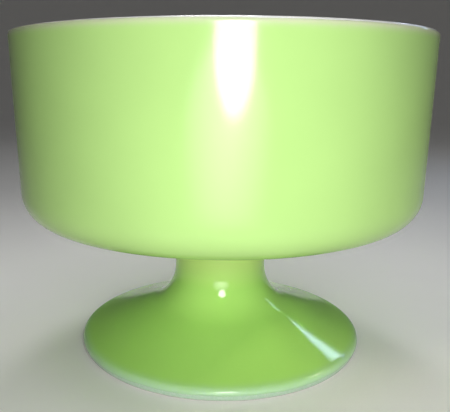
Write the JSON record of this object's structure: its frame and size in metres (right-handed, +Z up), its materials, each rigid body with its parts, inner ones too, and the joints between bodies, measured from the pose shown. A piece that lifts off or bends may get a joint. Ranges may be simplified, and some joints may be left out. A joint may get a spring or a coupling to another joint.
{
  "type": "sherbet glass",
  "caption": "Low footed dessert glass: straight-sided opal-glass bowl on a short stem and flared hollow foot, with a glossy lime-green fired-on coat and a bare white lip.",
  "frame": {"origin": "centre of the foot's standing ring, on the surface that the glass stands on", "axes": "+Z up along the glass's axis of symmetry; the picture is taken from the -Y side"},
  "size_m": [0.0954, 0.0954, 0.074],
  "materials": {
    "opal_glass_bowl": "fire-polished opaque white",
    "opal_glass_foot": "fire-polished opaque white",
    "green_coat_bowl": "glossy fired-on enamel",
    "green_coat_foot": "glossy fired-on enamel"
  },
  "bodies": {
    "root": {"bowl": "opal_glass_bowl", "pedestal_foot": "opal_glass_foot", "bowl_coat": "green_coat_bowl", "foot_coat": "green_coat_foot"}
  },
  "joints": []
}
